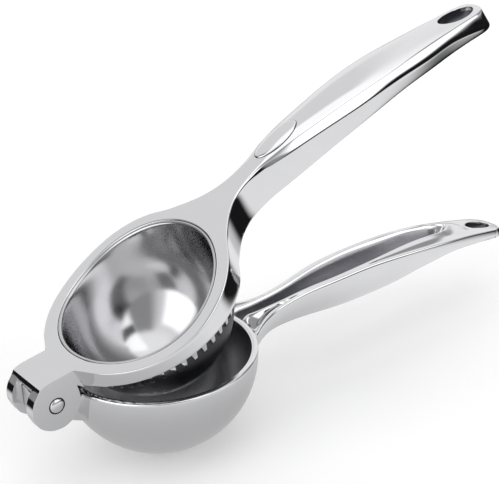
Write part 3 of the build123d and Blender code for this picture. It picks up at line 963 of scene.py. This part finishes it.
def thicken_handle(bm, tags, last_row):
    """Gives the net its underside, and its outer walls a loop half way down."""
    row, column, level = tags["row"], tags["column"], tags["level"]
    bmesh.ops.recalc_face_normals(bm, faces=bm.faces)
    for v in extrude_faces(bm, bm.faces[:]):
        v[level] = BELOW
    walls = [
        e for e in bm.edges
        if e.verts[0][level] != e.verts[1][level]
        and (e.verts[0][column] == HANDLE_EDGE or e.verts[0][row] in (0, last_row))
    ]
    cut = bmesh.ops.subdivide_edges(bm, edges=walls, cuts=1, use_grid_fill=True)["geom_inner"]
    for v in verts_in(cut):
        v[level] = HALF_WAY
    for v in bm.verts:
        x, y = v.co.x, v.co.y
        keel = 1.6 * abs(y / lower_half(x)) ** 3
        if v[level] == BELOW:
            v.co.z = lower_under(x) + keel
            if v[column] == HANDLE_EDGE:
                v.co.y = y * 0.86
        elif v[level] == HALF_WAY:
            v.co.z = lower_top(x) + (lower_under(x) - lower_top(x)) * 0.5
            v.co.y = y * 1.01


def top_crease(rows, columns, end_row):
    """Crease of an edge on the handle's top face between two rows or between two columns."""
    if rows[0] == rows[1]:
        ridges = {end_row: 0.4, end_row + 1: 0.9, end_row + 2: 0.8, end_row + 4: 0.55}
        return ridges.get(rows[0], 0.0) if max(columns) < HANDLE_EDGE else 0.0
    if rows[0] >= end_row + 2 and columns[0] < HANDLE_EDGE:
        return 0.0
    if rows[0] < pocket_rows and columns[0] in (RIM, POCKET_EDGE):
        return 0.7
    return {FLOOR_EDGE: 0.35, LIP: 0.9, HANDLE_EDGE: 0.6}.get(columns[0], 0.0)


def crease_handle(bm, tags, end_row, hole_row):
    """Keeps the ridges, facets and edges of the lower handle crisp when it is subdivided."""
    crease = bm.edges.layers.float.new("crease_edge")
    for e in bm.edges:
        if not any(v[tags["level"]] for v in e.verts):
            rows = [v[tags["row"]] for v in e.verts]
            columns = [v[tags["column"]] for v in e.verts]
            e[crease] = top_crease(rows, columns, end_row)
        if len(e.link_faces) == 2 and hole_row <= e.verts[0][tags["row"]] <= hole_row + 4:
            if e.calc_face_angle() > math.radians(50) and abs(e.verts[0].co.y) < 4.2:
                e[crease] = 0.8


def build_lower_handle():
    """Lower grip with its open trough, the pockets beside its root and its hanging hole."""
    bm = bmesh.new()
    tags = {name: bm.verts.layers.int.new(name) for name in ("row", "column", "level")}
    rows = lower_grip_rows()
    end_row = len(rows)
    rows += trough_end_rows()
    hole_row = len(rows)
    rows += lower_hole_rows() + lower_tip_rows()
    lay_lower_net(bm, rows, tags)
    open_lower_hole(bm, tags, hole_row)
    thicken_handle(bm, tags, len(rows) - 1)
    crease_handle(bm, tags, end_row, hole_row)
    mark_hole_wall(bm, *lower_hole)
    finish_mesh(bm, "lower_handle", "lower_lever", [polished, hole_shade_metal], "lower_arm")


# --- knuckle ---
def build_knuckle():
    """Knuckle barrel with a flat front between the ears, and the neck that carries it."""
    bm = bmesh.new()
    chord = math.sqrt(knuckle_radius**2 - knuckle_front**2)
    side = []
    for angle in (78, 92, 106, 120, 133):
        a = math.radians(angle)
        side.append((knuckle_radius * math.cos(a), knuckle_radius * math.sin(a)))
    front = [(-knuckle_front, chord), (-knuckle_front, 0.0), (-knuckle_front, -chord)]
    below = [(x, -z) for x, z in side[:2:-1]]
    neck = [(-1.6, -6.6), (1.0, -7.9), (5.3, -10.1), (9.4, -12.3), (13.9, -14.5), (15.2, -15.1)]
    over = [(13.3, -9.5), (12.4, -4.0), (11.4, -3.6), (8.0, -2.6), (5.6, 0.6), (4.4, 4.0)]
    outline = side + front + below + neck + over
    cheek = bm.faces.new([bm.verts.new((x, -knuckle_half, z)) for x, z in outline])
    for v in extrude_faces(bm, [cheek]):
        v.co.y = knuckle_half
    bmesh.ops.recalc_face_normals(bm, faces=bm.faces)
    bm.normal_update()
    bevel_sharp(bm, width=0.35)
    finish_mesh(bm, "hinge_knuckle", "lower_lever", [polished], "lower_arm", levels=0)


# --- studio ---
camera_place = (-0.2035, -0.3258, 0.2598)
camera_azimuth, camera_elevation, camera_roll = -37.153, 25.521, -2.867
camera_lens = 89.02
floor_half = 0.9

# Walls, windows and flags of the studio, as (direction, half width, softness, elevation from, to,
# softness, level). Angles are in degrees, directions from +X, and a level of 1 is white.
STUDIO = [
    (175, 28, 12, -30, 46, 8, 1.9),
    (-110, 14, 22, -90, 56, 10, 0.38),
    (-57, 26, 14, 12, 56, 6, 1.6),
    (-55, 24, 20, 60, 82, 8, 1.7),
    (-10, 20, 10, 13, 60, 8, 0.35),
    (134, 18, 10, -90, 56, 12, 0.3),
    (-36, 46, 14, -90, 4, 6, 0.01),
    (126, 26, 10, -90, 3, 4, 0.01),
    (62, 22, 12, -90, 2, 4, 0.5),
    (-66, 20, 10, 48, 56, 5, 0.1),
    (87, 24, 12, 30, 58, 8, 0.8),
]
# Parts of the floor painted dark where metal reflects it, though the eye sees them white: (direction, half
# width, softness, distance and its softness in metres).
DARK_FLOOR = [(-36, 46, 14, 0.76, 0.1), (126, 26, 10, 0.22, 0.12), (-8, 12, 14, 0.25, 0.06)]


def grey(level):
    """A neutral colour of this linear level."""
    return (level, level, level, 1.0)


def sector(tree, parts, centre, half, soft):
    """1 within half the width, in degrees, of a direction round the vertical axis from +X."""
    angle = node(tree, "ShaderNodeMath", {"operation": "ARCTAN2"}, links={
        0: parts.outputs["Y"], 1: parts.outputs["X"]})
    angle = node(tree, "ShaderNodeMath", {"operation": "DEGREES"}, links={0: angle.outputs[0]})
    angle = node(tree, "ShaderNodeMath", {"operation": "SUBTRACT"}, {1: centre}, {0: angle.outputs[0]})
    angle = node(tree, "ShaderNodeMath", {"operation": "WRAP"}, {1: 180.0, 2: -180.0}, {0: angle.outputs[0]})
    return window(tree, angle.outputs[0], -half, half, soft)


def studio_world():
    """A white studio with windows and dark flags, which only reflections and light see."""
    world = bpy.data.worlds.new("studio")
    bpy.context.scene.world = world
    world.use_nodes = True
    tree = world.node_tree
    way = node(tree, "ShaderNodeTexCoord")
    parts = node(tree, "ShaderNodeSeparateXYZ", links={"Vector": way.outputs["Generated"]})
    rise = node(tree, "ShaderNodeMath", {"operation": "ARCSINE"}, links={0: parts.outputs["Z"]})
    rise = node(tree, "ShaderNodeMath", {"operation": "DEGREES"}, links={0: rise.outputs[0]})
    overhead = window(tree, rise.outputs[0], 70, 100, 25)
    colour = blend(tree, overhead, grey(0.95), grey(1.25))
    for centre, half, soft, low, high, soft_rise, level in STUDIO:
        across = sector(tree, parts, centre, half, soft)
        up = window(tree, rise.outputs[0], low, high, soft_rise)
        mask = node(tree, "ShaderNodeMath", {"operation": "MULTIPLY"}, links={0: across, 1: up})
        colour = blend(tree, mask.outputs[0], colour, grey(level))
    rays = node(tree, "ShaderNodeLightPath")
    colour = blend(tree, rays.outputs["Is Camera Ray"], colour, grey(1.0))
    tree.links.new(colour, tree.nodes["Background"].inputs["Color"])


def mirrored_floor(tree):
    """The floor as metal reflects it, painted as a glow: a painted shadow dims it under the press, it is pale
    around it and painted dark far off.
    """
    spot = node(tree, "ShaderNodeTexCoord")
    parts = node(tree, "ShaderNodeSeparateXYZ", links={"Vector": spot.outputs["Object"]})
    reach = node(tree, "ShaderNodeVectorMath", {"operation": "LENGTH"}, links={0: spot.outputs["Object"]})
    # Painted shadow: the reflected floor dims towards the press.
    near = node(tree, "ShaderNodeMapRange", {"interpolation_type": "SMOOTHSTEP"}, {
        "From Min": 0.03, "From Max": 0.16, "To Min": 0.5, "To Max": 0.9}, {"Value": reach.outputs["Value"]})
    colour = near.outputs[0]
    for centre, half, soft, distance, soft_distance in DARK_FLOOR:
        across = sector(tree, parts, centre, half, soft)
        away = window(tree, reach.outputs["Value"], distance, 9.0, soft_distance)
        mask = node(tree, "ShaderNodeMath", {"operation": "MULTIPLY"}, links={0: across, 1: away})
        colour = blend(tree, mask.outputs[0], colour, grey(0.01))
    return node(tree, "ShaderNodeEmission", links={"Color": colour})


def paper_material():
    """Matt white paper that looks white to the eye and keeps a soft shadow."""
    paper = bpy.data.materials.new("white_paper")
    paper.use_nodes = True
    tree = paper.node_tree
    shader = tree.nodes["Principled BSDF"]
    shader.inputs["Base Color"].default_value = linear("#F2F2F2")
    shader.inputs["Roughness"].default_value = 0.9
    shader.inputs["Specular IOR Level"].default_value = 0.1
    shader.inputs["Emission Color"].default_value = (1, 1, 1, 1)
    rays = node(tree, "ShaderNodeLightPath")
    lift = node(tree, "ShaderNodeMath", {"operation": "MULTIPLY"}, {1: 0.2}, {
        0: rays.outputs["Is Camera Ray"]})
    tree.links.new(lift.outputs[0], shader.inputs["Emission Strength"])
    # Reflections see the painted glow and painted shadow of mirrored_floor in place of the lit paper.
    both = node(tree, "ShaderNodeMixShader", links={
        0: rays.outputs["Is Glossy Ray"], 1: shader.outputs["BSDF"],
        2: mirrored_floor(tree).outputs["Emission"]})
    tree.links.new(both.outputs["Shader"], tree.nodes["Material Output"].inputs["Surface"])
    return paper


def paper_floor():
    """The plain pale floor that the press stands on."""
    bm = bmesh.new()
    bmesh.ops.create_grid(bm, x_segments=1, y_segments=1, size=floor_half)
    mesh = bpy.data.meshes.new("floor")
    bm.to_mesh(mesh)
    bm.free()
    mesh.materials.append(paper_material())
    plane = bpy.data.objects.new("floor", mesh)
    bpy.context.collection.objects.link(plane)


def camera():
    """Camera that looks along its azimuth and down at its elevation, turned a little by its roll."""
    azimuth, elevation, roll = (math.radians(a) for a in (camera_azimuth, camera_elevation, camera_roll))
    back = Vector((
        math.sin(azimuth) * math.cos(elevation),
        -math.cos(azimuth) * math.cos(elevation),
        math.sin(elevation),
    ))
    level = Vector((math.cos(azimuth), math.sin(azimuth), 0))
    over = back.cross(level)
    right = level * math.cos(roll) + over * math.sin(roll)
    up = over * math.cos(roll) - level * math.sin(roll)
    data = bpy.data.cameras.new("camera")
    data.sensor_width = 36.0
    data.lens = camera_lens
    obj = bpy.data.objects.new("camera", data)
    turn = Matrix((right, up, back)).transposed().to_4x4()
    obj.matrix_world = Matrix.Translation(camera_place) @ turn
    bpy.context.collection.objects.link(obj)
    bpy.context.scene.camera = obj


build_upper_casting()
build_cup_shell()
build_fins()
build_rivet_heads()
build_rivet_joints()
build_plate()
build_bowl()
build_lower_handle()
build_knuckle()

bpy.context.scene.view_settings.view_transform = "Standard"
studio_world()
paper_floor()
camera()
